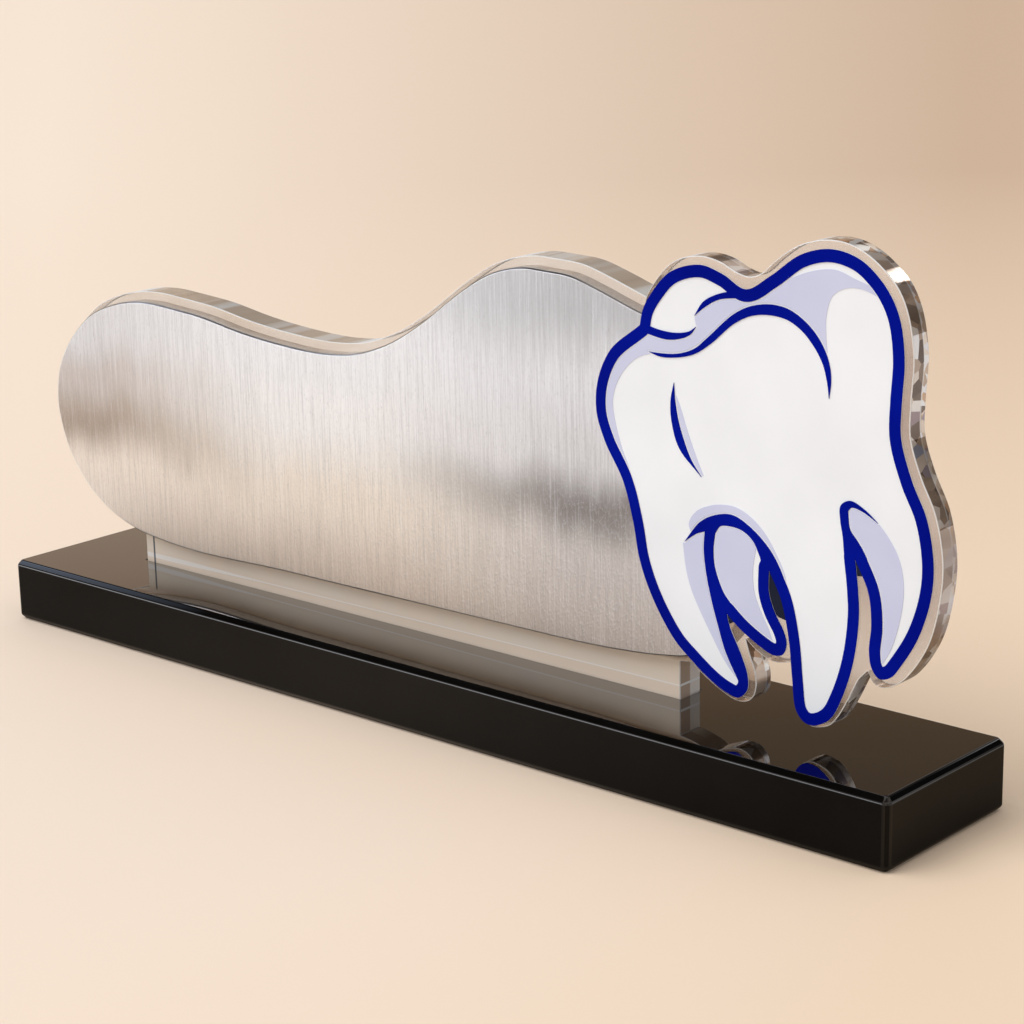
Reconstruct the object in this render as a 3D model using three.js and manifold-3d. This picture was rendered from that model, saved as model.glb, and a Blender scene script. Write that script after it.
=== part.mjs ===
// Desk nameplate: a cloud-shaped brushed steel plate on a clear panel that stands in a black base,
// with a molar tooth at the right end. Millimetres, +Z up. The origin is the middle of the base's
// underside, +X runs to the right end and -Y is the front.
import * as THREE from 'three';
import { mergeVertices } from 'three/addons/utils/BufferGeometryUtils.js';
import Module from 'manifold-3d';

const wasm = await Module();
wasm.setup();

// Base block
const BASE_LENGTH = 305;
const BASE_DEPTH = 50;
const BASE_HEIGHT = 18;
const BASE_CHAMFER = 1.3;

// Clear panel and the slot that holds its tab
const PANEL_THICKNESS = 8;
const PANEL_FRONT_FROM_BASE_FRONT = 24.2;
const PANEL_MARGIN = 2.3;
const TAB_LEFT_FROM_MIDDLE = -121;
const TAB_RIGHT_FROM_MIDDLE = 76.5;
const TAB_RISE_INTO_PANEL = 20;
const SLOT_DEPTH = 6;
const SLOT_CLEARANCE = 0.3;

// Steel plate and the film that bonds it to the panel
const STEEL_THICKNESS = 4;
const STEEL_BEVEL = 0.4;
const STEEL_BOND_THICKNESS = 0.25;
const STEEL_BOND_INSET = 0.5;
const SEAM = 0.3;

// Tooth: clear block, bond and the films on its face
const TOOTH_THICKNESS = 6;
const TOOTH_TRIMMED_MARGIN = 0.1;
const TOOTH_BOND_THICKNESS = 0.1;
const TOOTH_BOND_INSET = 1;
const WHITE_FILM_THICKNESS = 0.2;
const LINE_FILM_THICKNESS = 0.2;
const SHADE_FILM_THICKNESS = 0.1;
const OUTLINE_WIDTH = 2.9;
const SHADE_GAP_TO_LINE = 0.35;
const FILL_GAP_TO_TOOTH = 0.1;

// Air left between a laid film and what it lies on
const FILM_GAP = 0.05;

// Drawing accuracy
const FINE_STEP = 0.25;
const CHORD_ERROR = 0.02;
const ARC_STEP = THREE.MathUtils.degToRad(8);
const OFFSET_TOLERANCE = 0.01;
const LENGTH_SAMPLES_PER_POINT = 40;
const CUT_OVERRUN = 1;

// Planes across the depth, from the panel outwards to the front
const panelFront = PANEL_FRONT_FROM_BASE_FRONT - BASE_DEPTH / 2;
const panelBack = panelFront + PANEL_THICKNESS;
const steelBondBack = panelFront - FILM_GAP;
const steelBondFront = steelBondBack - STEEL_BOND_THICKNESS;
const steelBack = steelBondFront - FILM_GAP;
const steelFront = steelBack - STEEL_THICKNESS;
const toothBondBack = panelFront - FILM_GAP;
const toothBondFront = toothBondBack - TOOTH_BOND_THICKNESS;
const blockBack = toothBondFront - FILM_GAP;
const blockFront = blockBack - TOOTH_THICKNESS;
const whiteBack = blockFront - FILM_GAP;
const whiteFront = whiteBack - WHITE_FILM_THICKNESS;
const shadeFront = whiteFront - SHADE_FILM_THICKNESS;
const lineFront = whiteFront - LINE_FILM_THICKNESS;
const slotFloor = BASE_HEIGHT - SLOT_DEPTH;

// Outlines are drawn from the front as [distance right of the base's middle, height above the
// base's top]. An outline is a list of smooth runs, and a corner is where one run ends and the next
// starts.
const PLATE_OUTLINE = [
  [-152.5, 45], [-150.5, 55], [-144.5, 64], [-135, 72], [-125.5, 76], [-116.5, 78], [-108, 78.5],
  [-99.5, 78],
  [-87, 77], [-71, 74.5], [-55.5, 73], [-40, 72.5], [-29, 73.5], [-21.5, 75.5], [-14, 78.5], [-3.5, 84.5],
  [11, 94.5], [21, 100], [31, 102.5], [39, 102.5], [47, 102], [56, 99.5], [68.5, 95.5], [80, 93], [91, 87],
  [99, 76], [101, 60], [98, 42], [94.5, 29], [90, 19.5], [83, 13.5], [73.5, 11.5], [61, 10.3], [48.5, 9.7],
  [28.5, 9.5], [0, 9.3], [-28.5, 9], [-60, 8.8], [-92.5, 8], [-110.5, 9], [-120.5, 10.5], [-131.5, 14.3],
  [-139, 19], [-144.5, 24.5], [-148.5, 30], [-151.5, 38],
];

// The tooth's corners are its notch at the left of the crown and the crotches between its roots.
// The crown's top has a dip between its two cusps.
const NOTCH = [70, 93];
const CROWN_DIP = [100.5, 104.7];
const RIGHT_CROTCH = [131, 47];
const MIDDLE_CROTCH = [107.5, 40];
const LEFT_CROTCH = [95.3, 27.2];

const TOOTH_OUTLINE = [
  [
    NOTCH, [71, 97], [73.5, 101], [79, 106.5], [87.5, 109], [94, 107.5], CROWN_DIP, [107.5, 108.5],
    [115.5, 114], [123.5, 116], [131, 114.5], [136.5, 110.5], [140, 106], [142, 101], [143, 93],
    [142.5, 84],
    [142.5, 76], [145.5, 67], [149.5, 59], [151.5, 49], [151, 41], [148, 31.5], [143.6, 24], [141, 20.8],
    [138, 20], [136, 22], [135.2, 26], [135.7, 32], [134.8, 39.5], RIGHT_CROTCH,
  ],
  [
    RIGHT_CROTCH, [132, 39.5], [132.3, 33], [131, 22.5], [128, 13], [125, 7.5], [121, 5], [118, 5],
    [115.5, 7.5], [114.3, 15], [113.3, 24], [111, 33.5], MIDDLE_CROTCH,
  ],
  [
    MIDDLE_CROTCH, [107.5, 34.5], [109, 30.3], [111.7, 26], [112.6, 23], [111.5, 20.2], [109, 19.6],
    [105, 21], [99.5, 24], LEFT_CROTCH,
  ],
  [
    LEFT_CROTCH, [96.5, 23.5], [99.5, 18], [101.5, 13], [101.5, 9.5], [99, 7], [95.5, 7.5], [91, 9.5],
    [85, 13.5], [80, 17.5], [73.5, 26.5], [69.5, 35.5], [67.5, 45], [64.5, 54.5], [59, 63.5], [56.5, 70.5],
    [57, 78], [61, 86], NOTCH,
  ],
];

// The clear block's own edge. Its margin round the picture is widest at the right, and it fills the
// tops of the gaps between the roots. Where the edge runs inside the picture, the block ends at the
// picture.
const BLOCK_OUTLINE = [
  [
    [71, 97.5], [71.7, 100], [74, 103.5], [78, 107.8], [82, 110], [88, 111], [93, 110.2], [97.5, 108.3],
    [101, 107.6], [104.3, 108.5], [108.5, 112], [113.5, 115.4], [119, 117.4], [124, 118], [129, 117.3],
    [133.5, 115.3], [138, 112], [141.2, 108.5], [143.7, 103], [145.2, 94], [144.7, 85], [144.7, 76.5],
    [147.5, 68.3], [151.6, 60], [153.7, 49.5], [153.2, 41], [150.7, 30.8], [146.3, 23.2], [142.7, 19.5],
    [139, 17.8], [136.3, 18.3], [134.7, 21],
  ],
  [[134.7, 21], [132.3, 18.5], [131, 16], [129, 12], [126.5, 7.8], [124.6, 5.7], [122, 4.6],
  [119, 4.4], [117, 7]],
  [[117, 7], [117, 20]],
  [[117, 20], [112.3, 18.3], [110, 17.8], [107.4, 18], [105, 18.9], [103, 20], [100.6, 21.9]],
  [
    [100.6, 21.9], [101.9, 18], [103.2, 15], [103.8, 12], [103.4, 8.8], [102, 6.9], [100, 6], [97.5, 6],
    [94, 7.2], [90, 9.2], [86, 12], [84, 16],
  ],
  [[84, 16], [75, 40], [66, 72], [71, 97.5]],
];

// Lines that run into the tooth's outline. The two folds and the hook are drawn from the point that
// each one starts at: the notch, the dip and the right crotch.
const FRONT_CUSP_FOLD = [
  [[1, 0.5], [6, -0.5], [11, -0.6], [14.5, 0.2], [16.5, 1.5]],
  [[16.5, 1.5], [15, -0.4], [12.5, -1.7], [8, -2.5], [0.5, -1.5]],
  [[0.5, -1.5], [1, 0.5]],
];

const REAR_CUSP_FOLD = [
  [[-14.5, -7.7], [-12, -4.2], [-8.5, -2.2], [-3.5, -0.7]],
  [[-3.5, -0.7], [-1.5, -2.2]],
  [[-1.5, -2.2], [-7.5, -3.2], [-12, -5.7], [-14.5, -7.7]],
];

const LEFT_ROOT_ARCH = [
  [[83, 42.5], [87.5, 48], [92, 50.5], [97, 51.3], [102, 49.3], [107.5, 45], [111, 40], [114, 32.5]],
  [[114, 32.5], [107, 34]],
  [[107, 34], [105, 42.5]],
  [[105, 42.5], [103, 46], [100, 48], [96.5, 48.5], [93.5, 48], [92, 46]],
  [[92, 46], [91.5, 42], [92, 37.5], [94.5, 32], [96.5, 29.8]],
  [[96.5, 29.8], [98.5, 20]],
  [[98.5, 20], [100.3, 10.5]],
  [[100.3, 10.5], [99.3, 10.5]],
  [[99.3, 10.5], [95.1, 17.6], [92.8, 24], [91.3, 28.5], [89.5, 35.5], [88.7, 41.5], [89, 46]],
  [[89, 46], [86.5, 45], [83, 42.5]],
];

const RIGHT_ROOT_HOOK = [
  [[6, 9], [2.5, 11.5], [-1.5, 13], [-4, 11.5], [-4, 8], [-3.3, 4.5], [-2.7, -1], [-1.7, -7]],
  [[-1.7, -7], [3.2, -6]],
  [[3.2, -6], [3.2, 0.4]],
  [[3.2, 0.4], [2, 2.3], [0.4, 4.3], [-1.4, 6.4], [-2, 10.5]],
  [[-2, 10.5], [-1, 11.5], [2, 11], [6, 9]],
];

// Lines that stand alone on the crown. The ridge is drawn from the lower side of the outline at the
// dip.
const RIDGE_LINE = [
  [
    [-28, -14.8], [-24.5, -14.8], [-19.5, -14.3], [-14.5, -12.5], [-10.5, -9.3], [-3.5, -3.3], [1.5, -0.8],
    [7.5, 0.2], [12.5, -0.6], [17.5, -3.5], [21, -7.3], [23, -11.5], [23.5, -15.3], [23, -19.3],
  ],
  [
    [23, -19.3], [22.5, -15.8], [21.3, -11.8], [19, -8.2], [15.5, -4.8], [11.5, -2.8], [6.5, -2.3],
    [1.5, -3.1],
    [-3.5, -5.6], [-9.5, -10.6], [-14.5, -13.8], [-19.5, -15.2], [-24.5, -15.6], [-28, -14.8],
  ],
];

const CRESCENT_LINE = [
  [[80, 80.5], [79, 76], [79.3, 71], [81.5, 65], [88, 59]],
  [[88, 59], [85, 62.7], [82.8, 67.2], [81.2, 71.8], [80.3, 76.4], [80, 80.5]],
];

// Shaded areas, drawn to the middle of the lines that bound them
const CROWN_SHADE = [
  [[68.5, 51], [67.4, 55.5], [64, 63], [62, 69.5], [61.5, 73.5], [62.5, 77.5], [65, 81.5], [69, 85],
  [74.5, 87]],
  [[74.5, 87], [81, 87.5], [87, 90.5], [93, 95.5], [99, 99], [107, 101], [115, 99.5], [120, 96], [123, 92]],
  [[123, 92], [122.5, 96.5], [122.5, 101], [124, 105.5], [127, 107.5], [131, 108], [135, 107], [139, 105]],
  [[139, 105], [134.5, 108.5], [130, 110], [125, 111.5], [120, 111], [113, 108.5], [107.5, 105],
  [103, 104.5]],
  [[103, 104.5], [97, 103.5], [92, 102], [88.5, 100], [86, 97]],
  [[86, 97], [86.5, 94.5]],
  [[86.5, 94.5], [82, 92], [77, 91.5], [71, 92.5]],
  [[71, 92.5], [65, 87.5], [60.5, 82.5], [58, 75], [58.5, 69], [62.5, 61.5], [66.5, 54], [68.5, 51]],
];

const ARCH_HALO = [
  [
    [85, 44.6], [84.3, 47.3], [86.5, 50.5], [90.5, 52.5], [94, 53.3], [98, 53.3], [102.5, 51.5],
    [106.5, 48.2],
    [109.5, 44], [112, 39.3], [113.6, 32],
  ],
  [[113.6, 32], [110.5, 38], [107, 43.5], [101.5, 48.7], [97, 50], [92, 49.5], [87.5, 46.5], [85, 44.6]],
];

const LEFT_ROOT_SHADE = [
  [[82.5, 42], [83.5, 35.5], [85, 31], [88, 25.5], [91.5, 20], [95, 15], [98.5, 11.5]],
  [[98.5, 11.5], [96.5, 18], [94.5, 23], [92.5, 30], [90.5, 36], [90, 42], [90.5, 47]],
  [[90.5, 47], [87, 46], [82.5, 42]],
];

const BACK_ROOT_SHADE = [
  [[92.5, 49], [97, 50], [101, 48.5], [103.8, 44.5]],
  [[103.8, 44.5], [102.9, 39], [103.3, 34], [105, 29.8], [107.5, 25.5], [108.9, 22], [109, 21.3]],
  [[109, 21.3], [105, 22.5], [101, 24.5], [97.5, 27.5], [94, 30.5], [91, 35], [90, 40], [90.5, 45],
  [92.5, 49]],
];

const RIGHT_ROOT_SHADE = [
  [
    [131, 59], [134, 58], [137, 56], [139.5, 53.5], [142, 50], [143.5, 46], [144, 41], [143, 34],
    [141, 27.5],
    [138.5, 23], [138, 21.5],
  ],
  [[138, 21.5], [137, 24], [137.2, 32], [136.5, 38], [133.5, 45], [131, 50], [128, 54], [128, 58],
  [131, 59]],
];

const CRESCENT_SHADE = [
  [[80, 78.5], [81.6, 75.5], [83.5, 70.5], [85.6, 65.5], [88.6, 59.3]],
  [[88.6, 59.3], [84, 62], [80.5, 70], [80, 78.5]],
];

// Dark fills at the tops of the gaps between the roots, drawn past the lines that bound them
const MIDDLE_GAP_FILL = [
  [[106, 41], [113, 41], [116, 28]],
  [[116, 28], [110.3, 29]],
  [[110.3, 29], [106, 32], [106, 41]],
];

const LEFT_GAP_FILL = [
  [[94, 29], [101, 27]],
  [[101, 27], [97.6, 25.4], [96, 24.6]],
  [[96, 24.6], [94, 25], [94, 29]],
];

const RIGHT_GAP_FILL = [
  [[129.5, 48.5], [136, 46], [136, 43.5]],
  [[136, 43.5], [131.8, 42.9], [130, 43]],
  [[130, 43], [129.5, 48.5]],
];

function spacedPoints(points, isClosed) {
  const nodes = points.map(([x, height]) => new THREE.Vector3(x, height, 0));
  const curve = new THREE.CatmullRomCurve3(nodes, isClosed, 'centripetal');
  curve.arcLengthDivisions = LENGTH_SAMPLES_PER_POINT * points.length;
  const count = Math.max(1, Math.ceil(curve.getLength() / FINE_STEP));
  return curve.getSpacedPoints(count).map((point) => new THREE.Vector2(point.x, point.y));
}

function anticlockwise(loop) {
  return THREE.ShapeUtils.isClockWise(loop) ? loop.slice().reverse() : loop;
}

function movedRuns(runs, [right, up]) {
  return runs.map((run) => run.map(([x, height]) => [x + right, height + up]));
}

function smoothLoop(points) {
  return anticlockwise(spacedPoints(points, true).slice(0, -1));
}

function corneredLoop(runs) {
  return anticlockwise(runs.flatMap((run) => spacedPoints(run, false).slice(0, -1)));
}

function distanceToLoop(point, loop) {
  let least = Infinity;
  for (let index = 0; index < loop.length; index += 1) {
    const start = loop[index];
    const end = loop[(index + 1) % loop.length];
    const alongX = end.x - start.x;
    const alongY = end.y - start.y;
    const reach = (point.x - start.x) * alongX + (point.y - start.y) * alongY;
    const share = reach / (alongX ** 2 + alongY ** 2);
    const held = Math.min(1, Math.max(0, share));
    const gap = Math.hypot(start.x + held * alongX - point.x, start.y + held * alongY - point.y);
    least = Math.min(least, gap);
  }
  return least;
}

// The points at one distance from the loop, outside it for a positive distance and inside it for a
// negative one, with arcs round its corners. Points that another stretch of the loop comes closer
// to are dropped.
function offsetLoop(loop, distance) {
  const side = Math.sign(distance);
  const moved = [];
  loop.forEach((here, index) => {
    const before = here.clone().sub(loop.at(index - 1)).normalize();
    const after = loop[(index + 1) % loop.length].clone().sub(here).normalize();
    const turn = Math.atan2(before.cross(after), before.dot(after));
    const arcs = Math.ceil((turn * side) / ARC_STEP);
    const shares = arcs > 1 ? Array.from({ length: arcs + 1 }, (_, step) => step / arcs) : [0.5];
    for (const share of shares) {
      const heading = Math.atan2(before.y, before.x) + share * turn - Math.PI / 2;
      const stepX = distance * Math.cos(heading);
      const stepY = distance * Math.sin(heading);
      moved.push(new THREE.Vector2(here.x + stepX, here.y + stepY));
    }
  });
  const reach = Math.abs(distance) - OFFSET_TOLERANCE;
  return moved.filter((point) => distanceToLoop(point, loop) >= reach);
}

// Leaves out each point that the line through its neighbours passes closely enough.
function thinnedLoop(loop) {
  const keep = new Set([0]);
  const farthest = (from, to) => {
    const start = loop[from];
    const end = loop[to % loop.length];
    const chord = end.clone().sub(start);
    const length = chord.length();
    let best = 0;
    let place = -1;
    for (let index = from + 1; index < to; index += 1) {
      const offset = loop[index].clone().sub(start);
      const away = length > 0 ? Math.abs(chord.cross(offset)) / length : offset.length();
      if (away > best) {
        best = away;
        place = index;
      }
    }
    return [best, place];
  };
  const split = (from, to) => {
    const [away, place] = farthest(from, to);
    if (away > CHORD_ERROR) {
      keep.add(place);
      split(from, place);
      split(place, to);
    }
  };
  const half = Math.floor(loop.length / 2);
  keep.add(half);
  split(0, half);
  split(half, loop.length);
  return loop.filter((_, index) => keep.has(index));
}

// Puts an extruded drawing upright: its height becomes Z, and its extrusion runs from the back
// plane to the front.
function stoodUp(geometry, front, back) {
  const position = geometry.attributes.position;
  geometry.computeBoundingBox();
  const { min, max } = geometry.boundingBox;
  for (let index = 0; index < position.count; index += 1) {
    const x = position.getX(index);
    const height = position.getY(index);
    const share = (position.getZ(index) - min.z) / (max.z - min.z);
    position.setXYZ(index, x, back + share * (front - back), height + BASE_HEIGHT);
  }
  return geometry;
}

function toSolid(geometry) {
  geometry.deleteAttribute('normal');
  geometry.deleteAttribute('uv');
  const merged = mergeVertices(geometry);
  return new wasm.Manifold(new wasm.Mesh({
    numProp: 3,
    vertProperties: merged.attributes.position.array,
    triVerts: Uint32Array.from(merged.index.array),
  }));
}

function toGeometry(solid) {
  const mesh = solid.getMesh();
  const geometry = new THREE.BufferGeometry();
  geometry.setAttribute('position', new THREE.BufferAttribute(Float32Array.from(mesh.vertProperties), 3));
  geometry.setIndex(new THREE.BufferAttribute(Uint32Array.from(mesh.triVerts), 1));
  geometry.computeVertexNormals();
  return geometry;
}

function slab(loop, front, back) {
  const shape = new THREE.Shape(thinnedLoop(loop));
  const geometry = new THREE.ExtrudeGeometry(shape, { depth: 1, steps: 1, bevelEnabled: false });
  return toSolid(stoodUp(geometry, front, back));
}

// A slab whose front edge is bevelled and whose back edge is square
function bevelledSlab(loop, front, back, bevel) {
  const thickness = back - front;
  const shape = new THREE.Shape(thinnedLoop(loop));
  const bevelled = new THREE.ExtrudeGeometry(shape, {
    depth: thickness - 2 * bevel,
    steps: 1,
    bevelEnabled: true,
    bevelSegments: 1,
    bevelSize: bevel,
    bevelThickness: bevel,
    bevelOffset: -bevel,
  });
  return toSolid(stoodUp(bevelled, front, back)).add(slab(loop, front + thickness / 2, back));
}

const plate = smoothLoop(PLATE_OUTLINE);
const tooth = corneredLoop(TOOTH_OUTLINE);
const ridge = movedRuns(RIDGE_LINE, [CROWN_DIP[0], CROWN_DIP[1] - OUTLINE_WIDTH]);
const joinedRuns = [
  movedRuns(FRONT_CUSP_FOLD, NOTCH),
  movedRuns(REAR_CUSP_FOLD, CROWN_DIP),
  movedRuns(RIGHT_ROOT_HOOK, RIGHT_CROTCH),
  LEFT_ROOT_ARCH,
];

// The lines that meet the tooth's edge, each grown by the same amount
function joinedLines(front, back, growth) {
  const grown = (runs) => (growth > 0 ? offsetLoop(corneredLoop(runs), growth) : corneredLoop(runs));
  const whole = slab(tooth, front, back);
  const inside = slab(offsetLoop(tooth, -(OUTLINE_WIDTH + growth)), front, back);
  return joinedRuns
    .map((runs) => slab(grown(runs), front, back))
    .reduce((sum, piece) => sum.add(piece), whole.subtract(inside))
    .intersect(whole);
}

function allLines(front, back, growth) {
  return [ridge, CRESCENT_LINE]
    .map((runs) => slab(offsetLoop(corneredLoop(runs), growth), front, back))
    .reduce((sum, piece) => sum.add(piece), joinedLines(front, back, growth));
}

const linesWithGap = allLines(shadeFront, whiteFront, SHADE_GAP_TO_LINE);

function baseBlock() {
  const halfLength = BASE_LENGTH / 2 - BASE_CHAMFER;
  const halfDepth = BASE_DEPTH / 2 - BASE_CHAMFER;
  const corner = BASE_CHAMFER * (Math.SQRT2 - 1);
  const footprint = new THREE.Shape([
    new THREE.Vector2(halfLength - corner, -halfDepth),
    new THREE.Vector2(halfLength, -halfDepth + corner),
    new THREE.Vector2(halfLength, halfDepth - corner),
    new THREE.Vector2(halfLength - corner, halfDepth),
    new THREE.Vector2(-halfLength + corner, halfDepth),
    new THREE.Vector2(-halfLength, halfDepth - corner),
    new THREE.Vector2(-halfLength, -halfDepth + corner),
    new THREE.Vector2(-halfLength + corner, -halfDepth),
  ]);
  const block = new THREE.ExtrudeGeometry(footprint, {
    depth: BASE_HEIGHT - 2 * BASE_CHAMFER,
    steps: 1,
    bevelEnabled: true,
    bevelSegments: 1,
    bevelSize: BASE_CHAMFER,
    bevelThickness: BASE_CHAMFER,
  });
  block.translate(0, 0, BASE_CHAMFER);
  const slotLength = TAB_RIGHT_FROM_MIDDLE - TAB_LEFT_FROM_MIDDLE + 2 * SLOT_CLEARANCE;
  const slotWidth = PANEL_THICKNESS + 2 * SLOT_CLEARANCE;
  const slot = new THREE.BoxGeometry(slotLength, slotWidth, 2 * SLOT_DEPTH);
  slot.translate(
    (TAB_LEFT_FROM_MIDDLE + TAB_RIGHT_FROM_MIDDLE) / 2,
    (panelFront + panelBack) / 2,
    slotFloor + SLOT_DEPTH,
  );
  return toSolid(block).subtract(toSolid(slot));
}

// The panel follows the plate with a margin all round, and its tab reaches down to the floor of the
// slot.
function clearPanel() {
  const tab = [
    new THREE.Vector2(TAB_LEFT_FROM_MIDDLE, -SLOT_DEPTH),
    new THREE.Vector2(TAB_RIGHT_FROM_MIDDLE, -SLOT_DEPTH),
    new THREE.Vector2(TAB_RIGHT_FROM_MIDDLE, TAB_RISE_INTO_PANEL),
    new THREE.Vector2(TAB_LEFT_FROM_MIDDLE, TAB_RISE_INTO_PANEL),
  ];
  const body = slab(offsetLoop(plate, PANEL_MARGIN), panelFront, panelBack);
  return body.add(slab(tab, panelFront, panelBack));
}

function steelPlate() {
  const toothCut = slab(
    offsetLoop(tooth, TOOTH_TRIMMED_MARGIN + SEAM),
    steelFront - CUT_OVERRUN,
    steelBack + CUT_OVERRUN,
  );
  return bevelledSlab(plate, steelFront, steelBack, STEEL_BEVEL).subtract(toothCut);
}

function plateBondFilm() {
  const toothEdge = TOOTH_TRIMMED_MARGIN + SEAM + STEEL_BOND_INSET;
  const toothCut = slab(
    offsetLoop(tooth, toothEdge),
    steelBondFront - CUT_OVERRUN,
    steelBondBack + CUT_OVERRUN,
  );
  return slab(offsetLoop(plate, -STEEL_BOND_INSET), steelBondFront, steelBondBack).subtract(toothCut);
}

// The block stands out round the tooth, but beside the steel plate it is trimmed to the tooth's
// edge.
function toothBlock() {
  const plateZone = slab(offsetLoop(plate, SEAM), blockFront - CUT_OVERRUN, blockBack + CUT_OVERRUN);
  const withMargin = slab(corneredLoop(BLOCK_OUTLINE), blockFront, blockBack);
  const trimmed = slab(offsetLoop(tooth, TOOTH_TRIMMED_MARGIN), blockFront, blockBack);
  return withMargin.subtract(plateZone).add(trimmed);
}

function toothBondFilm() {
  const overTooth = slab(offsetLoop(tooth, -TOOTH_BOND_INSET), toothBondFront, toothBondBack);
  return overTooth.intersect(slab(plate, toothBondFront, toothBondBack));
}

function shadeFilm(runs) {
  return slab(corneredLoop(runs), shadeFront, whiteFront).subtract(linesWithGap);
}

function lineFilm(runs) {
  return slab(corneredLoop(runs), lineFront, whiteFront);
}

function gapFill(runs) {
  const toothZone = slab(
    offsetLoop(tooth, FILL_GAP_TO_TOOTH),
    whiteFront - CUT_OVERRUN,
    whiteBack + CUT_OVERRUN,
  );
  return slab(corneredLoop(runs), whiteFront, whiteBack).subtract(toothZone);
}

function blackGloss() {
  return new THREE.MeshStandardMaterial({ color: 0x0a0a0b, roughness: 0.06, metalness: 0 });
}

function clearAcrylic() {
  return new THREE.MeshStandardMaterial({
    color: 0xf4f7f8, roughness: 0.04, metalness: 0, transparent: true, opacity: 0.35,
  });
}

function brushedSteel() {
  return new THREE.MeshStandardMaterial({ color: 0xc3bfba, roughness: 0.38, metalness: 1 });
}

function bondAdhesive() {
  return new THREE.MeshStandardMaterial({ color: 0xd9d8d3, roughness: 0.6, metalness: 0 });
}

function whiteFilm() {
  return new THREE.MeshStandardMaterial({ color: 0xf3f2f4, roughness: 0.25, metalness: 0 });
}

function shadeTint() {
  return new THREE.MeshStandardMaterial({ color: 0xc8c8e2, roughness: 0.25, metalness: 0 });
}

function blueFilm() {
  return new THREE.MeshStandardMaterial({ color: 0x00149a, roughness: 0.22, metalness: 0 });
}

function charcoalFilm() {
  return new THREE.MeshStandardMaterial({ color: 0x2a2526, roughness: 0.35, metalness: 0 });
}

const nameplate = new THREE.Group();

function addPiece(name, solid, material) {
  const mesh = new THREE.Mesh(toGeometry(solid), material);
  mesh.name = name;
  nameplate.add(mesh);
}

addPiece('base_block', baseBlock(), blackGloss());
addPiece('clear_panel', clearPanel(), clearAcrylic());
addPiece('plate_bond_film', plateBondFilm(), bondAdhesive());
addPiece('steel_plate', steelPlate(), brushedSteel());
addPiece('tooth_bond_film', toothBondFilm(), bondAdhesive());
addPiece('tooth_block', toothBlock(), clearAcrylic());
addPiece('tooth_white_face', slab(tooth, whiteFront, whiteBack), whiteFilm());
addPiece('tooth_outline', joinedLines(lineFront, whiteFront, 0), blueFilm());
addPiece('ridge_line', lineFilm(ridge), blueFilm());
addPiece('crescent_line', lineFilm(CRESCENT_LINE), blueFilm());
addPiece('crown_shade', shadeFilm(CROWN_SHADE), shadeTint());
addPiece('arch_halo_shade', shadeFilm(ARCH_HALO), shadeTint());
addPiece('left_root_shade', shadeFilm(LEFT_ROOT_SHADE), shadeTint());
addPiece('back_root_shade', shadeFilm(BACK_ROOT_SHADE), shadeTint());
addPiece('right_root_shade', shadeFilm(RIGHT_ROOT_SHADE), shadeTint());
addPiece('crescent_shade', shadeFilm(CRESCENT_SHADE), shadeTint());
addPiece('left_gap_fill', gapFill(LEFT_GAP_FILL), charcoalFilm());
addPiece('middle_gap_fill', gapFill(MIDDLE_GAP_FILL), charcoalFilm());
addPiece('right_gap_fill', gapFill(RIGHT_GAP_FILL), charcoalFilm());

export default nameplate;
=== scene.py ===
import math

import bmesh
import bpy
from mathutils import Matrix, Vector


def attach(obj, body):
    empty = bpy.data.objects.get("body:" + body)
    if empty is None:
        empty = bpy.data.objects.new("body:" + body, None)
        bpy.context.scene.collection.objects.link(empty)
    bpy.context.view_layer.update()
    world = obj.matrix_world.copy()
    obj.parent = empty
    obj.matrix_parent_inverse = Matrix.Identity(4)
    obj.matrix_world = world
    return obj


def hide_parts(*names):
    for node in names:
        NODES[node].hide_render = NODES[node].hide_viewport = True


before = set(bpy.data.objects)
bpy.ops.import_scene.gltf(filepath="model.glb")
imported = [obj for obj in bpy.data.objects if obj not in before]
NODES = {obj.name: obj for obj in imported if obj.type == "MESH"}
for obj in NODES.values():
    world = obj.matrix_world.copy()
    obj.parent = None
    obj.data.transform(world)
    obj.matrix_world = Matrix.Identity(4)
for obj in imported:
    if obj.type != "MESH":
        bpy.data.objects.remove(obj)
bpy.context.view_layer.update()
scene = bpy.context.scene
MM = 0.001


def rgb(red, green, blue):
    """A colour written with sRGB values of 0 to 255, as the linear colour that a socket takes."""
    def linear(value):
        value /= 255
        return value / 12.92 if value <= 0.04045 else ((value + 0.055) / 1.055) ** 2.4
    return (linear(red), linear(green), linear(blue), 1)


def level(value):
    """A plain linear level in the form of a colour."""
    return (value, value, value, 1)


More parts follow.
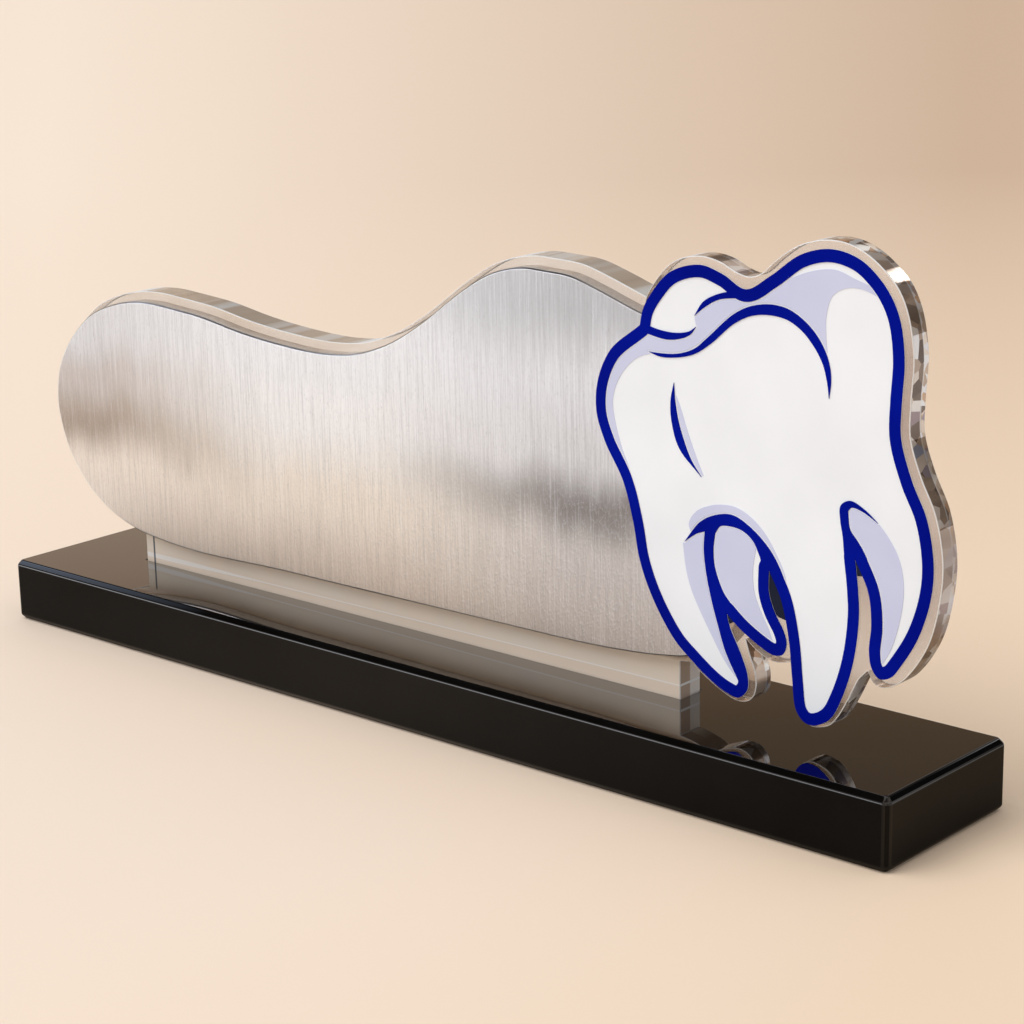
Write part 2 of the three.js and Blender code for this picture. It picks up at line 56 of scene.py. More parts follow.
class Tree:
    """Builds a node tree in few words. A value that is a socket is linked, and any other is set."""

    def __init__(self, owner):
        owner.use_nodes = True
        self.tree = owner.node_tree
        self.tree.nodes.clear()

    def add(self, kind, inputs=None, **settings):
        node = self.tree.nodes.new(kind)
        for name, value in settings.items():
            setattr(node, name, value)
        for name, value in (inputs or {}).items():
            self.put(node.inputs[name], value)
        return node

    def put(self, socket, value):
        if isinstance(value, bpy.types.NodeSocket):
            self.tree.links.new(value, socket)
        else:
            socket.default_value = value

    def math(self, operation, first, second=0.0, clamp=False):
        node = self.add("ShaderNodeMath", {0: first, 1: second}, operation=operation)
        node.use_clamp = clamp
        return node.outputs[0]

    def times(self, first, second):
        return self.math("MULTIPLY", first, second)

    def offset(self, value, middle):
        """How far a value lies from the middle one, on either side."""
        return self.math("ABSOLUTE", self.math("SUBTRACT", value, middle))

    def mix(self, factor, first, second, blend="MIX"):
        node = self.add("ShaderNodeMix", data_type="RGBA", blend_type=blend)
        self.put(node.inputs[0], factor)
        self.put(node.inputs[6], first)
        self.put(node.inputs[7], second)
        return node.outputs[2]

    def ramp(self, factor, stops, interpolation="LINEAR"):
        node = self.add("ShaderNodeValToRGB", {0: factor})
        ramp = node.color_ramp
        ramp.interpolation = interpolation
        while len(ramp.elements) < len(stops):
            ramp.elements.new(0.5)
        for element, (place, colour) in zip(ramp.elements, stops):
            element.position = place
            element.color = colour
        return node.outputs[0]

    def span(self, value, low, high, new_low=0.0, new_high=1.0):
        """The value's way from low to high, as a share or on a new range. It stops at both ends."""
        inputs = {0: value, 1: low, 2: high, 3: new_low, 4: new_high}
        return self.add("ShaderNodeMapRange", inputs).outputs[0]

    def place(self, scale=(1, 1, 1), shift=(0, 0, 0)):
        """The piece's own coordinates in metres, scaled and shifted."""
        coordinates = self.add("ShaderNodeTexCoord").outputs["Object"]
        inputs = {"Vector": coordinates, "Scale": scale, "Location": shift}
        return self.add("ShaderNodeMapping", inputs).outputs[0]

    def xyz(self, vector):
        return self.add("ShaderNodeSeparateXYZ", {0: vector}).outputs

    def noise(self, vector, scale, detail=2.0, roughness=0.5):
        inputs = {"Vector": vector, "Scale": scale, "Detail": detail, "Roughness": roughness}
        return self.add("ShaderNodeTexNoise", inputs).outputs[0]

    def cloud(self, noise):
        """Noise spread out, so that both ends of a mix are reached."""
        return self.span(noise, 0.35, 0.65)

    def graded(self, noise, low, high):
        """Noise as a small change of a value, such as roughness, from low to high."""
        return self.span(noise, 0.3, 0.7, low, high)

    def cells(self, vector, scale):
        """A value of its own for each of many straight-sided cells."""
        inputs = {"Vector": vector, "Scale": scale}
        colour = self.add("ShaderNodeTexVoronoi", inputs).outputs["Color"]
        return self.add("ShaderNodeSeparateColor", {0: colour}).outputs[0]

    def bump(self, height, distance, strength):
        inputs = {"Height": height, "Distance": distance, "Strength": strength}
        return self.add("ShaderNodeBump", inputs).outputs[0]

    def principled(self, **inputs):
        named = {name.replace("_", " "): value for name, value in inputs.items()}
        return self.add("ShaderNodeBsdfPrincipled", named)

    def either(self, share, first, second):
        inputs = {0: share, 1: first.outputs[0], 2: second.outputs[0]}
        return self.add("ShaderNodeMixShader", inputs)

    def finish(self, shader, kind="ShaderNodeOutputMaterial"):
        self.add(kind, {"Surface": shader.outputs[0]})


def material(name):
    made = bpy.data.materials.new(name)
    return made, Tree(made)


# --- Black acrylic ---

def black_acrylic(name, ior, specular, coat=0.0):
    made, tree = material(name)
    haze = tree.noise(tree.place(), 60, 3)
    tree.finish(tree.principled(
        Base_Color=tree.mix(tree.cloud(haze), rgb(7, 6, 5), rgb(11, 10, 9)),
        Roughness=tree.graded(haze, 0.01, 0.022), IOR=ior, Specular_IOR_Level=specular,
        Coat_Weight=coat, Coat_IOR=1.6, Coat_Roughness=0.01,
    ))
    return made


# --- Clear acrylic ---

CLEAR_IOR = 1.49
SHADOW_TINT = level(0.93)


def clear(tree, tone, clarity, normal, mirror=0.0):
    """Finishes a clear material: light passes it in shadow, and its haze is a share of plain colour.
    The mirror share stands for the light that a wall throws back from inside."""
    body = tree.principled(
        Base_Color=tone, Roughness=0.0, IOR=CLEAR_IOR, Transmission_Weight=clarity,
        Normal=normal, Metallic=mirror,
    )
    through = tree.add("ShaderNodeBsdfTransparent", {"Color": SHADOW_TINT})
    shadow = tree.add("ShaderNodeLightPath").outputs["Is Shadow Ray"]
    tree.finish(tree.either(shadow, body, through))


def face_ripple(tree):
    """The slow waviness of a cast sheet's face."""
    return tree.bump(tree.noise(tree.place((1, 0.15, 1)), 120), 0.02 * MM, 0.25)


def clear_block():
    """The tooth block's faces, with painted light: lighter towards its crown and its roots."""
    crown_from, crown_to = 112 * MM, 128 * MM
    roots_from, roots_to = 60 * MM, 45 * MM
    made, tree = material("clear_acrylic_block")
    vector = tree.place()
    cloud = tree.cloud(tree.noise(vector, 45))
    height = tree.xyz(vector)[2]
    tone = tree.mix(cloud, rgb(196, 172, 154), rgb(216, 194, 176))
    # Painted light: the faces lighten towards the crown and towards the roots.
    tone = tree.mix(tree.span(height, crown_from, crown_to), tone, rgb(236, 214, 194))
    tone = tree.mix(tree.span(height, roots_from, roots_to), tone, rgb(234, 212, 192))
    clear(tree, tone, tree.span(cloud, 0, 1, 0.84, 0.9), face_ripple(tree))
    return made


FOOT_TOP = 27.5 * MM
FOOT_FADE = 29 * MM


def clear_panel():
    """The panel is clear above. Its foot, which stands in the base, is nearly opaque, in pale tones
    of painted light that stand for the light seen through it. A painted highlight line runs along
    the foot, broad at its left end, and a painted dark line stands for the foot's rear left edge
    seen through it."""
    lower_to, upper_from = 20.4 * MM, 21.6 * MM
    upper_to, band_from = 24.3 * MM, 24.9 * MM
    line_left, line_right = (-118 * MM, 19.9 * MM), (76 * MM, 21.3 * MM)
    broad_to, thin_from = -105 * MM, -70 * MM
    broad, thin = 0.9 * MM, 0.2 * MM
    edge_x, edge_soft, edge_full = -117.6 * MM, 0.5 * MM, 0.2 * MM
    edge_fade, edge_top = 27 * MM, 26 * MM

    made, tree = material("clear_acrylic_panel")
    x, _, z = tree.xyz(tree.place())
    cloud = tree.cloud(tree.noise(tree.place(), 45))
    streak = tree.cloud(tree.noise(tree.place((1, 1, 0.2)), 60))
    above = tree.span(z, FOOT_TOP, FOOT_FADE)

    # Painted light: the foot's pale tones, lighter higher up to lift the plate's shadow, and a pale
    # band above.
    lower = tree.mix(streak, rgb(247, 224, 202), rgb(255, 232, 210))
    upper = tree.mix(streak, rgb(255, 233, 211), rgb(255, 239, 220))
    tone = tree.mix(tree.span(z, lower_to, upper_from), lower, upper)
    tone = tree.mix(tree.span(z, upper_to, band_from), tone, rgb(255, 235, 213))
    tone = tree.mix(above, tone, tree.mix(cloud, rgb(236, 216, 196), rgb(242, 226, 210)))
    # The foot lets little light through, so that its painted tones show.
    foot_clarity = tree.mix(streak, level(0.04), level(0.1))
    plain = tree.mix(cloud, level(0.88), level(0.92))
    clarity = tree.mix(above, foot_clarity, plain)

    # A painted highlight line along the foot, broad at its left end.
    middle = tree.span(x, line_left[0], line_right[0], line_left[1], line_right[1])
    reach = tree.span(x, broad_to, thin_from, broad, thin)
    share = tree.math("DIVIDE", tree.offset(z, middle), reach)
    line = tree.math("SUBTRACT", 1.0, share, clamp=True)
    line = tree.math("MULTIPLY", line, 2.5, clamp=True)
    tone = tree.mix(line, tone, rgb(255, 243, 234))
    clarity = tree.mix(line, clarity, level(0))

    # A painted dark line where the foot's rear left edge shows through.
    edge = tree.span(tree.offset(x, edge_x), edge_soft, edge_full)
    edge = tree.times(edge, tree.span(z, edge_fade, edge_top))
    tone = tree.mix(edge, tone, rgb(96, 98, 106))
    clear(tree, tone, clarity, face_ripple(tree))
    return made


# Painted reflected and refracted light for the clear walls: facet tones from dark to white, with a
# bluish and an orange glint.
FACETS_FRONT = [
    (0.0, rgb(92, 76, 66)), (0.12, rgb(138, 118, 102)), (0.26, rgb(186, 164, 146)),
    (0.42, rgb(226, 208, 192)), (0.56, rgb(255, 252, 248)), (0.76, rgb(250, 248, 248)),
    (0.84, rgb(120, 130, 162)), (0.92, rgb(216, 166, 122)), (1.0, rgb(176, 154, 136)),
]
FACETS_REAR = [
    (0.0, rgb(112, 98, 90)), (0.1, rgb(172, 150, 132)), (0.26, rgb(220, 196, 172)),
    (0.42, rgb(248, 232, 214)), (0.54, rgb(255, 254, 252)), (0.76, rgb(246, 244, 248)),
    (0.84, rgb(128, 140, 174)), (0.92, rgb(236, 188, 142)), (1.0, rgb(190, 168, 148)),
]
WALL_SHINE = 0.5


def facet_tone(tree, scale, stretch, split_y, front_stops):
    """Painted facets of reflected and refracted light, broad ones in front of split_y and small ones
    behind it, with a thin painted pale line between.
    """
    small_scale, small_stretch, small_shift = 600, (1, 0.8, 0.8), (0.03, 0, 0.01)
    blur, pale_line_behind, pale_line_soft, pale_line_full = 0.15 * MM, 0.2 * MM, 0.3 * MM, 0.12 * MM
    y = tree.xyz(tree.place())[1]
    front = tree.ramp(tree.cells(tree.place(stretch), scale), front_stops)
    small = tree.cells(tree.place(small_stretch, small_shift), small_scale)
    rear = tree.ramp(small, FACETS_REAR)
    tone = tree.mix(tree.span(y, split_y - blur, split_y + blur), front, rear)
    pale_line = tree.span(tree.offset(y, split_y + pale_line_behind), pale_line_soft, pale_line_full)
    return tree.mix(tree.times(pale_line, 0.6), tone, rgb(250, 248, 246))


def wall_ripple(tree, calm):
    return tree.bump(calm, 0.2 * MM, 0.2)


def clear_block_wall():
    """The block's polished wall, where what lies behind it shows as painted facets of reflected and
    refracted light among calm stretches of painted see-through tone.
    """
    made, tree = material("clear_block_wall")
    facets = facet_tone(tree, 420, (1, 0.45, 0.6), -3.1 * MM, FACETS_FRONT)
    calm = tree.noise(tree.place((1, 0, 1)), 70, 2, 0.6)
    calm_tone = tree.mix(tree.span(calm, 0.4, 0.6), rgb(150, 130, 116), rgb(204, 184, 168))
    stretches = tree.noise(tree.place((1, 0, 1)), 34, 1)
    busy = tree.span(stretches, 0.36, 0.46, 0.15, 0.9)
    tone = tree.mix(busy, calm_tone, facets)
    clear(tree, tone, tree.graded(calm, 0.35, 0.2), wall_ripple(tree, calm), WALL_SHINE)
    return made


def clear_panel_wall():
    """The panel's polished wall, in painted reflected and refracted light: calm along its top with
    pale streaks, busy behind the tooth, and at the tab's ends painted dark in front and light
    behind, with a painted white highlight line across."""
    busy_from, busy_to = 90 * MM, 100 * MM
    end_dark_to, end_light_from = 3 * MM, 3.3 * MM
    line_z, line_soft, line_full = 21.3 * MM, 0.4 * MM, 0.2 * MM
    foot_fade = 28.5 * MM

    made, tree = material("clear_panel_wall")
    x, y, z = tree.xyz(tree.place())
    calm = tree.noise(tree.place((1, 0, 1)), 75, 2, 0.7)
    # Painted reflections along the top: calm tones with pale streaks.
    calm_tone = tree.ramp(calm, [
        (0.3, rgb(186, 162, 140)), (0.42, rgb(216, 194, 172)), (0.5, rgb(222, 202, 182)),
        (0.54, rgb(246, 234, 222)), (0.6, rgb(252, 248, 244)), (0.63, rgb(218, 196, 174)),
    ])
    busy_tone = facet_tone(tree, 460, (1, 0.5, 0.7), 3.6 * MM, FACETS_REAR)
    # Painted light and shade at the tab's ends, and a painted white highlight line across them.
    behind = tree.span(y, end_dark_to, end_light_from)
    end_tone = tree.mix(behind, rgb(196, 174, 156), rgb(244, 236, 228))
    line = tree.span(tree.offset(z, line_z), line_soft, line_full)
    end_tone = tree.mix(line, end_tone, rgb(255, 255, 255))

    busy = tree.span(x, busy_from, busy_to)
    foot = tree.span(z, foot_fade, FOOT_TOP)
    tone = tree.mix(foot, tree.mix(busy, calm_tone, busy_tone), end_tone)
    clarity = tree.mix(foot, tree.mix(busy, level(0.5), level(0.3)), level(0.15))
    clear(tree, tone, clarity, wall_ripple(tree, calm), tree.times(busy, WALL_SHINE))
    return made


def clear_edge():
    """The eased edges of the clear pieces, which catch the light; their pale, half-clear tone adds a
    painted highlight.
    """
    made, tree = material("clear_acrylic_edge")
    cloud = tree.cloud(tree.noise(tree.place(), 90))
    tone = tree.mix(cloud, rgb(240, 238, 236), rgb(255, 254, 252))
    ripple = tree.bump(tree.noise(tree.place(), 300), 0.01 * MM, 0.2)
    clear(tree, tone, tree.span(cloud, 0, 1, 0.3, 0.5), ripple)
    return made


# --- Steel ---

def painted_steel_light(tree):
    """Painted light and reflection on the brushed face: light and cool above, warmer and darker
    below, with painted dark bands. They run up the plate, one set for its left end, one for its
    middle and one for its right part."""
    bottom, top, wander_by = 20 * MM, 120 * MM, 6 * MM
    left_to, middle_from = -130 * MM, -60 * MM
    middle_to, right_from = -20 * MM, 45 * MM
    x, _, z = tree.xyz(tree.place())
    wander = tree.noise(tree.place((1, 1, 0.35)), 38, 3, 0.6)
    height = tree.math("ADD", z, tree.span(wander, 0.2, 0.8, -wander_by, wander_by))
    share = tree.span(height, bottom, top)
    left = tree.ramp(share, [
        (0.12, rgb(236, 219, 202)), (0.24, rgb(240, 221, 202)), (0.38, rgb(177, 156, 137)),
        (0.52, rgb(204, 189, 178)), (0.66, rgb(220, 213, 209)), (1.0, rgb(219, 215, 213)),
    ], "EASE")
    middle = tree.ramp(share, [
        (0.12, rgb(225, 208, 191)), (0.3, rgb(240, 223, 204)), (0.55, rgb(242, 234, 227)),
        (0.72, rgb(236, 231, 227)), (1.0, rgb(212, 210, 210)),
    ], "EASE")
    right = tree.ramp(share, [
        (0.1, rgb(200, 189, 180)), (0.3, rgb(206, 195, 187)), (0.43, rgb(139, 130, 124)),
        (0.55, rgb(215, 209, 206)), (0.72, rgb(223, 218, 216)), (0.92, rgb(186, 183, 182)),
    ], "EASE")
    tone = tree.mix(tree.span(x, left_to, middle_from), left, middle)
    return tree.mix(tree.span(x, middle_to, right_from), tone, right)


def brushed_steel():
    """The plate's face: an upright brush in two grains, fine specks, and thin worn threads that
    are strongest low down on the right."""
    worn_high, worn_low = 85 * MM, 35 * MM
    worn_left, worn_right = -90 * MM, 30 * MM
    thread_soft, thread_full, least_worn = 0.022, 0.004, 0.14

    made, tree = material("brushed_steel")
    long_grain = tree.noise(tree.place((1, 1, 0.02)), 2800, 4, 0.7)
    fine_grain = tree.noise(tree.place((1, 1, 0.03)), 4200, 2, 0.6)
    specks = tree.noise(tree.place((1, 1, 0.4)), 1900, 3, 0.7)
    x, _, z = tree.xyz(tree.place())
    worn = tree.times(
        tree.span(z, worn_high, worn_low), tree.span(x, worn_left, worn_right, 0.3, 1),
    )
    # The broad tones are painted light and reflection.
    tone = painted_steel_light(tree)
    tone = tree.mix(tree.span(long_grain, 0.47, 0.68, 0, 0.32), tone, rgb(158, 152, 148))
    tone = tree.mix(tree.span(long_grain, 0.47, 0.3, 0, 0.3), tone, rgb(246, 245, 244))
    tone = tree.mix(tree.span(specks, 0.54, 0.7, 0, 0.22), tone, rgb(160, 152, 148))
    for shift, thread_tone, most in (
        (0.0, rgb(250, 248, 246), 0.34),
        (0.3 * MM, rgb(132, 124, 118), 0.28),
    ):
        swirl = tree.noise(tree.place((1, 1, 0.5), (shift, 0, shift)), 900, 3, 0.6)
        thread = tree.span(tree.offset(swirl, 0.5), thread_soft, thread_full)
        amount = tree.times(thread, tree.span(worn, 0, 1, least_worn * most, most))
        tone = tree.mix(amount, tone, thread_tone)
    height = tree.math("ADD", long_grain, tree.times(fine_grain, 0.6))
    tree.finish(tree.principled(
        Base_Color=tone, Metallic=1.0, Roughness=tree.graded(fine_grain, 0.27, 0.38),
        Normal=tree.bump(height, 0.01 * MM, 0.4),
    ))
    return made


def polished_steel():
    """The plate's cut edge and its eased rim, which are smoother than the face."""
    made, tree = material("polished_steel_edge")
    grain = tree.noise(tree.place((1, 0.6, 1)), 1200)
    tree.finish(tree.principled(
        Base_Color=tree.mix(tree.cloud(grain), rgb(228, 228, 230), rgb(240, 240, 241)),
        Metallic=1.0, Roughness=tree.graded(grain, 0.28, 0.31),
    ))
    return made


# --- Adhesive and printed films ---

def bond_adhesive():
    made, tree = material("bond_adhesive")
    mottle = tree.noise(tree.place(), 300, 3)
    tree.finish(tree.principled(
        Base_Color=tree.ramp(mottle, [(0.3, rgb(196, 192, 186)), (0.7, rgb(212, 208, 202))]),
        Roughness=0.55, Normal=tree.bump(mottle, 0.05 * MM, 0.3),
    ))
    return made


def printed_film(name, deep, pale):
    """A printed film: its colour clouds very slightly, and its face has a fine satin grain."""
    made, tree = material(name)
    grain = tree.noise(tree.place(), 2500)
    tree.finish(tree.principled(
        Base_Color=tree.mix(tree.cloud(tree.noise(tree.place(), 35)), deep, pale),
        Roughness=tree.graded(grain, 0.3, 0.38), Specular_IOR_Level=0.02,
        Normal=tree.bump(grain, 0.003 * MM, 0.3),
    ))
    return made


MATERIALS = {
    "black_acrylic": black_acrylic("black_acrylic", 1.49, 0.24),
    "black_top": black_acrylic("black_acrylic_top", 1.6, 0.5, 1.0),
    "black_edge": black_acrylic("black_acrylic_edge", 1.6, 0.5),
    "panel_wall": clear_panel_wall(),
    "block_wall": clear_block_wall(),
    "panel": clear_panel(),
    "block": clear_block(),
    "clear_edge": clear_edge(),
    "steel": brushed_steel(),
    "steel_edge": polished_steel(),
    "bond": bond_adhesive(),
    "white": printed_film("white_film", rgb(238, 240, 244), rgb(244, 246, 250)),
    "lavender": printed_film("lavender_film", rgb(202, 205, 230), rgb(209, 212, 235)),
    "blue": printed_film("blue_film", rgb(0, 13, 128), rgb(0, 19, 145)),
    "charcoal": printed_film("charcoal_film", rgb(29, 33, 48), rgb(36, 39, 54)),
}


# --- Pieces ---

WELD_WITHIN = 0.002 * MM
FLAT_WITHIN = math.radians(0.4)
SHARP_FROM = math.radians(25)


def welded(node):
    """A copy of a CAD node's mesh with its triangles joined into whole faces."""
    mesh = bmesh.new()
    mesh.from_mesh(NODES[node].data)
    bmesh.ops.remove_doubles(mesh, verts=mesh.verts, dist=WELD_WITHIN)
    bmesh.ops.dissolve_limit(
        mesh, angle_limit=FLAT_WITHIN, verts=mesh.verts, edges=mesh.edges, delimit=set(),
    )
    return mesh


def link(name, data):
    piece = bpy.data.objects.new(name, data)
    scene.collection.objects.link(piece)
    return piece


def eased(name, node, looks, width, segments, look_of):
    """The CAD node's shape with its sharp edges rounded by width metres, standing for the node.
    look_of tells which of the looks a face has, by its normal. The edges have the last look."""
    mesh = welded(node)
    for face in mesh.faces:
        face.smooth = True
        face.material_index = look_of(face.normal)
    data = bpy.data.meshes.new(name)
    mesh.to_mesh(data)
    mesh.free()
    piece = link(name, data)
    for look in looks:
        data.materials.append(MATERIALS[look])
    bevel = piece.modifiers.new("eased_edges", "BEVEL")
    bevel.width = width
    bevel.segments = segments
    bevel.limit_method = "ANGLE"
    bevel.angle_limit = SHARP_FROM
    bevel.use_clamp_overlap = False
    bevel.miter_outer = "MITER_ARC"
    bevel.material = len(looks) - 1
    normals = piece.modifiers.new("flat_faces", "WEIGHTED_NORMAL")
    normals.mode = "FACE_AREA"
    normals.weight = 100
    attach(piece, "root")
    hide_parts(node)


def is_wall(normal):
    """0 for a front or back face, and 1 for the wall between them."""
    return 1 if abs(normal.y) < 0.5 else 0


def is_side(normal):
    """0 for the top face, and 1 for any other."""
    return 0 if normal.z > 0.9 else 1


def add_pieces():
    base_looks = ["black_top", "black_acrylic", "black_edge"]
    panel_looks = ["panel", "panel_wall", "clear_edge"]
    plate_looks = ["steel", "steel_edge"]
    block_looks = ["block", "block_wall", "clear_edge"]
    eased("base", "base_block", base_looks, 0.4 * MM, 5, is_side)
    eased("panel", "clear_panel", panel_looks, 0.22 * MM, 3, is_wall)
    eased("plate", "steel_plate", plate_looks, 0.1 * MM, 2, is_wall)
    eased("figure_block", "tooth_block", block_looks, 0.22 * MM, 3, is_wall)


PAINTED = {
    "bond": ["plate_bond_film", "tooth_bond_film"],
    "white": ["tooth_white_face"],
    "blue": ["tooth_outline", "ridge_line", "crescent_line"],
    "lavender": [
        "crown_shade", "arch_halo_shade", "left_root_shade", "back_root_shade",
        "right_root_shade", "crescent_shade",
    ],
    "charcoal": ["left_gap_fill", "middle_gap_fill", "right_gap_fill"],
}


def paint_nodes():
    """The CAD nodes that stay as they are get their looks."""
    for look, nodes in PAINTED.items():
        for node in nodes:
            data = NODES[node].data
            data.materials.clear()
            data.materials.append(MATERIALS[look])


# --- Camera ---

CAMERA_PLACE = Vector((0.4369, -0.46583, 0.22689))
CAMERA_YAW = math.radians(41.685)
CAMERA_PITCH = math.radians(15.32)
CAMERA_ROLL = math.radians(-1.209)
CAMERA_LENS = 89.46
SENSOR = 36.0


def add_camera():
    ahead = Vector((
        -math.sin(CAMERA_YAW) * math.cos(CAMERA_PITCH),
        math.cos(CAMERA_YAW) * math.cos(CAMERA_PITCH),
        -math.sin(CAMERA_PITCH),
    ))
    level_right = Vector((math.cos(CAMERA_YAW), math.sin(CAMERA_YAW), 0))
    level_up = level_right.cross(ahead)
    right = math.cos(CAMERA_ROLL) * level_right + math.sin(CAMERA_ROLL) * level_up
    up = -math.sin(CAMERA_ROLL) * level_right + math.cos(CAMERA_ROLL) * level_up
    turned = Matrix((right, up, -ahead)).transposed().to_4x4()
    data = bpy.data.cameras.new("camera")
    data.lens = CAMERA_LENS
    data.sensor_width = SENSOR
    data.clip_start = 0.01
    data.clip_end = 100
    camera = link("camera", data)
    camera.matrix_world = Matrix.Translation(CAMERA_PLACE) @ turned
    scene.camera = camera


# --- Floor ---

FLOOR_RADIUS = 25
HALF_LENGTH = 152.5 * MM
HALF_DEPTH = 25 * MM
# The floor's tones run along and across the heading of the view, as the sine and cosine of its yaw.
YAW_COS = 0.747
YAW_SIN = 0.665


def room_tone(tree, x, y):
    """Painted light on the floor: lighter at the left and near, darker at the right and far, wider
    apart with distance.
    """
    near, far = 0.1, 1.0
    fan_start, least_fan, fan_left, fan_right = 0.75, 0.3, -0.16, 0.18
    across = tree.math("ADD", tree.times(x, YAW_COS), tree.times(y, YAW_SIN))
    away = tree.math("SUBTRACT", tree.times(y, YAW_COS), tree.times(x, YAW_SIN))
    fan = tree.math("MAXIMUM", tree.math("ADD", away, fan_start), least_fan)
    side = tree.span(tree.math("DIVIDE", across, fan), fan_left, fan_right)
    distance = tree.span(away, near, far)
    left = tree.mix(distance, rgb(250, 224, 200), rgb(255, 231, 208))
    right = tree.mix(distance, rgb(242, 212, 182), rgb(212, 179, 150))
    return tree.mix(side, left, right)


def pool_share(tree, x, y):
    """A long soft pool of light in front of the base."""
    middle_x, middle_y, half_straight = -0.04, -0.09, 0.08
    outer, inner, most = 0.14, 0.02, 0.2
    past = tree.math("SUBTRACT", tree.offset(x, middle_x), half_straight)
    past = tree.math("MAXIMUM", past, 0.0)
    beside = tree.math("SUBTRACT", y, middle_y)
    squares = tree.math("ADD", tree.math("POWER", past, 2.0), tree.math("POWER", beside, 2.0))
    return tree.span(tree.math("SQRT", squares), outer, inner, 0, most)


def painted_mirror_tone(tree, x, y):
    """The floor's colour for mirror rays only: a painted dark contact shade beside the base, and the
    pale floor beyond.
    """
    zone_to, pale_from = 0.04, 0.065
    past_end = tree.math("SUBTRACT", tree.math("ABSOLUTE", x), HALF_LENGTH)
    past_side = tree.math("SUBTRACT", tree.math("ABSOLUTE", y), HALF_DEPTH)
    gone = tree.span(tree.math("MAXIMUM", past_end, past_side), zone_to, pale_from)
    beside = tree.ramp(tree.span(x, -0.16, 0.17), [
        (0.0, rgb(128, 108, 90)), (0.42, rgb(212, 186, 162)), (0.8, rgb(104, 88, 76)),
        (0.93, rgb(86, 66, 46)), (1.0, rgb(142, 114, 84)),
    ])
    return tree.mix(gone, beside, rgb(244, 243, 244))


def add_floor():
    made, tree = material("floor")
    place = tree.add("ShaderNodeTexCoord").outputs["Object"]
    x, y, _ = tree.xyz(place)
    tone = tree.mix(pool_share(tree, x, y), room_tone(tree, x, y), rgb(255, 240, 228))
    glossy = tree.add("ShaderNodeLightPath").outputs["Is Glossy Ray"]
    # Mirror rays see the painted contact shade beside the base.
    tone = tree.mix(tree.times(glossy, 0.8), tone, painted_mirror_tone(tree, x, y))
    grain = tree.noise(place, 900, 3)
    tree.finish(tree.principled(
        Base_Color=tone, Roughness=tree.graded(grain, 0.5, 0.6), Specular_IOR_Level=0.12,
        Normal=tree.bump(grain, 0.03 * MM, 0.2),
    ))
    mesh = bmesh.new()
    bmesh.ops.create_circle(mesh, cap_ends=True, segments=96, radius=FLOOR_RADIUS)
    data = bpy.data.meshes.new("floor")
    mesh.to_mesh(data)
    mesh.free()
    data.materials.append(made)
    link("floor", data)


# --- World and lamp ---

SOFT_LIGHT = (0.9, 0.95, 1.0, 1)
SOFT_STRENGTH = 0.695
# Studio panels: the direction of each, the angles in degrees to which it is full and at which it
# ends, and its colour. A later one covers an earlier one.
PANELS = (
    ((-0.6, -0.33, 0.73), 24, 32, rgb(38, 36, 34)),
    ((-0.8, -0.25, 0.55), 0, 7, (2.6, 3.0, 3.9, 1)),
    ((0.36, 0.79, 0.49), 7, 12, rgb(34, 36, 40)),
    ((0.69, 0.69, 0.05), 8, 10, rgb(255, 252, 248)),
    ((0.0, 0.1, 1.0), 20, 26, rgb(255, 252, 250)),
    ((0.05, 0.69, 0.72), 17, 21, rgb(96, 90, 86)),
    ((0.43, 0.89, 0.13), 8, 14, rgb(40, 36, 33)),
    ((0.149, 0.857, 0.507), 3, 6, level(6.0)),
)
# A low strip of light that only mirror-like surfaces show, for the line along the base's front.
STRIP_AIM, STRIP_FULL, STRIP_END = (-0.66, -0.75, 0.0), 15, 19
STRIP_TOP, STRIP_FADE = 0.18, 0.14
STRIP_LIGHT = (4.4, 4.5, 4.8, 1)


def toward(tree, heading, aim, full, end):
    """1 within the full angle of a direction, and 0 from the end angle on."""
    inputs = {0: heading, 1: Vector(aim).normalized()}
    dot = tree.add("ShaderNodeVectorMath", inputs, operation="DOT_PRODUCT").outputs[1]
    return tree.span(dot, math.cos(math.radians(end)), math.cos(math.radians(full)))


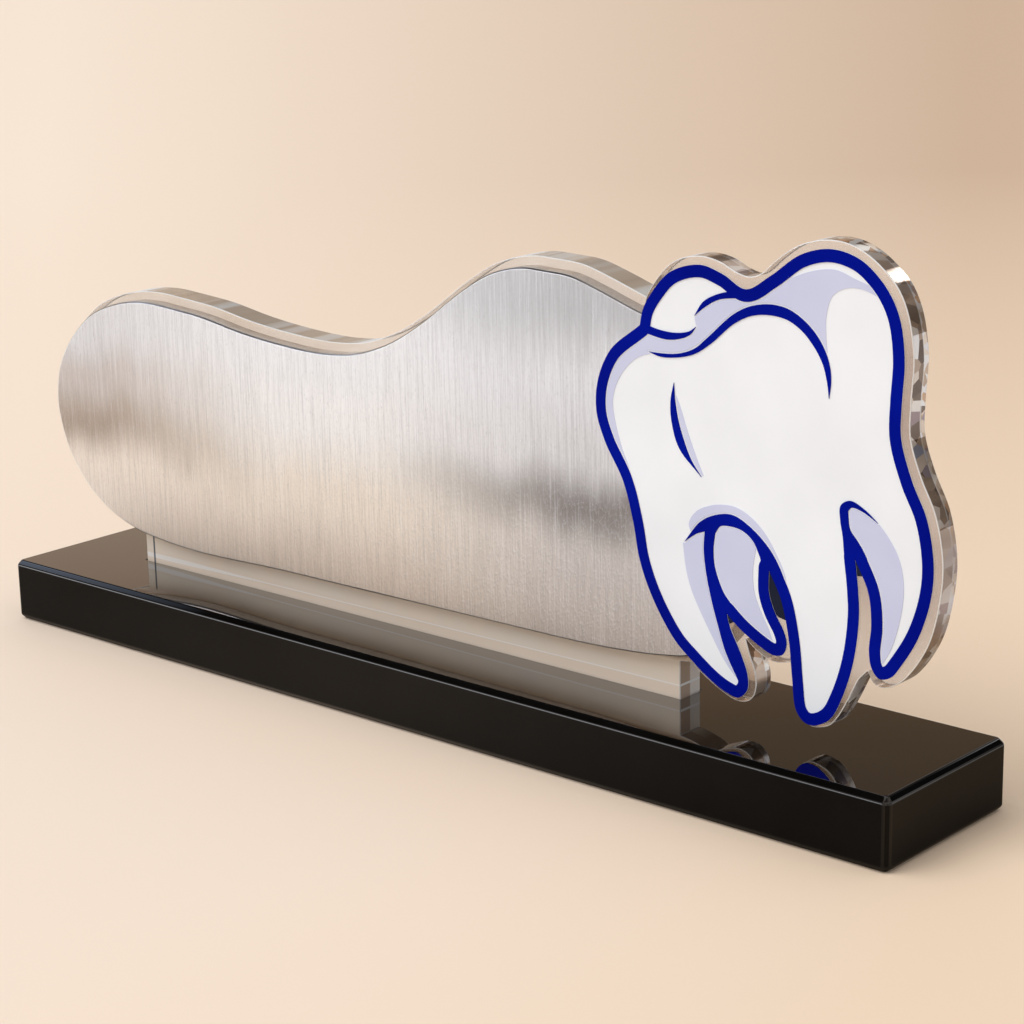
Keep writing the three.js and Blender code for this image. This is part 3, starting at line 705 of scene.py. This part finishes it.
def add_world():
    """A soft even light for the object, and a studio with pale panels for what shines."""
    made = bpy.data.worlds.new("studio")
    scene.world = made
    tree = Tree(made)
    heading = tree.add("ShaderNodeTexCoord").outputs["Generated"]
    x, y, z = tree.xyz(heading)
    path = tree.add("ShaderNodeLightPath").outputs
    glossy = path["Is Glossy Ray"]

    blotch = tree.span(tree.noise(heading, 4.5, 1), 0.46, 0.54)
    room = tree.mix(blotch, rgb(140, 120, 104), rgb(240, 232, 224))
    back = tree.ramp(tree.span(z, -1, 1), [
        (0.5, rgb(244, 224, 204)), (0.625, rgb(240, 214, 188)), (0.64, rgb(226, 196, 170)),
        (0.655, rgb(182, 150, 122)), (0.672, rgb(144, 120, 96)), (0.7, rgb(120, 100, 82)),
        (1.0, rgb(150, 140, 130)),
    ])
    back = tree.mix(glossy, back, level(0.62), "MULTIPLY")
    leftward = tree.span(tree.math("SUBTRACT", y, x), 0.75, 1.0)
    seen = tree.mix(tree.times(leftward, tree.span(z, 0.5, 0.38)), room, back)
    for aim, full, end, colour in PANELS:
        seen = tree.mix(toward(tree, heading, aim, full, end), seen, colour)
    strip = toward(tree, heading, STRIP_AIM, STRIP_FULL, STRIP_END)
    strip = tree.times(strip, tree.span(z, STRIP_TOP, STRIP_FADE))
    seen = tree.mix(tree.times(strip, glossy), seen, STRIP_LIGHT)

    soft = tree.add("ShaderNodeBackground", {"Color": SOFT_LIGHT, "Strength": SOFT_STRENGTH})
    sharp = tree.add("ShaderNodeBackground", {"Color": seen, "Strength": 1.0})
    direct = tree.math("MAXIMUM", glossy, path["Is Transmission Ray"])
    direct = tree.math("MAXIMUM", direct, path["Is Camera Ray"])
    tree.finish(tree.either(direct, soft, sharp), "ShaderNodeOutputWorld")


def add_sun():
    data = bpy.data.lights.new("soft_sun", "SUN")
    data.energy = 1.7
    data.color = (0.9, 0.955, 1.0)
    data.angle = math.radians(50)
    piece = link("soft_sun", data)
    piece.rotation_euler = Vector((-0.45, -0.6, 0.9)).to_track_quat("Z", "Y").to_euler()
    piece.visible_camera = False
    piece.visible_glossy = False


add_pieces()
paint_nodes()
add_camera()
add_floor()
add_world()
add_sun()

scene.view_settings.view_transform = "Standard"
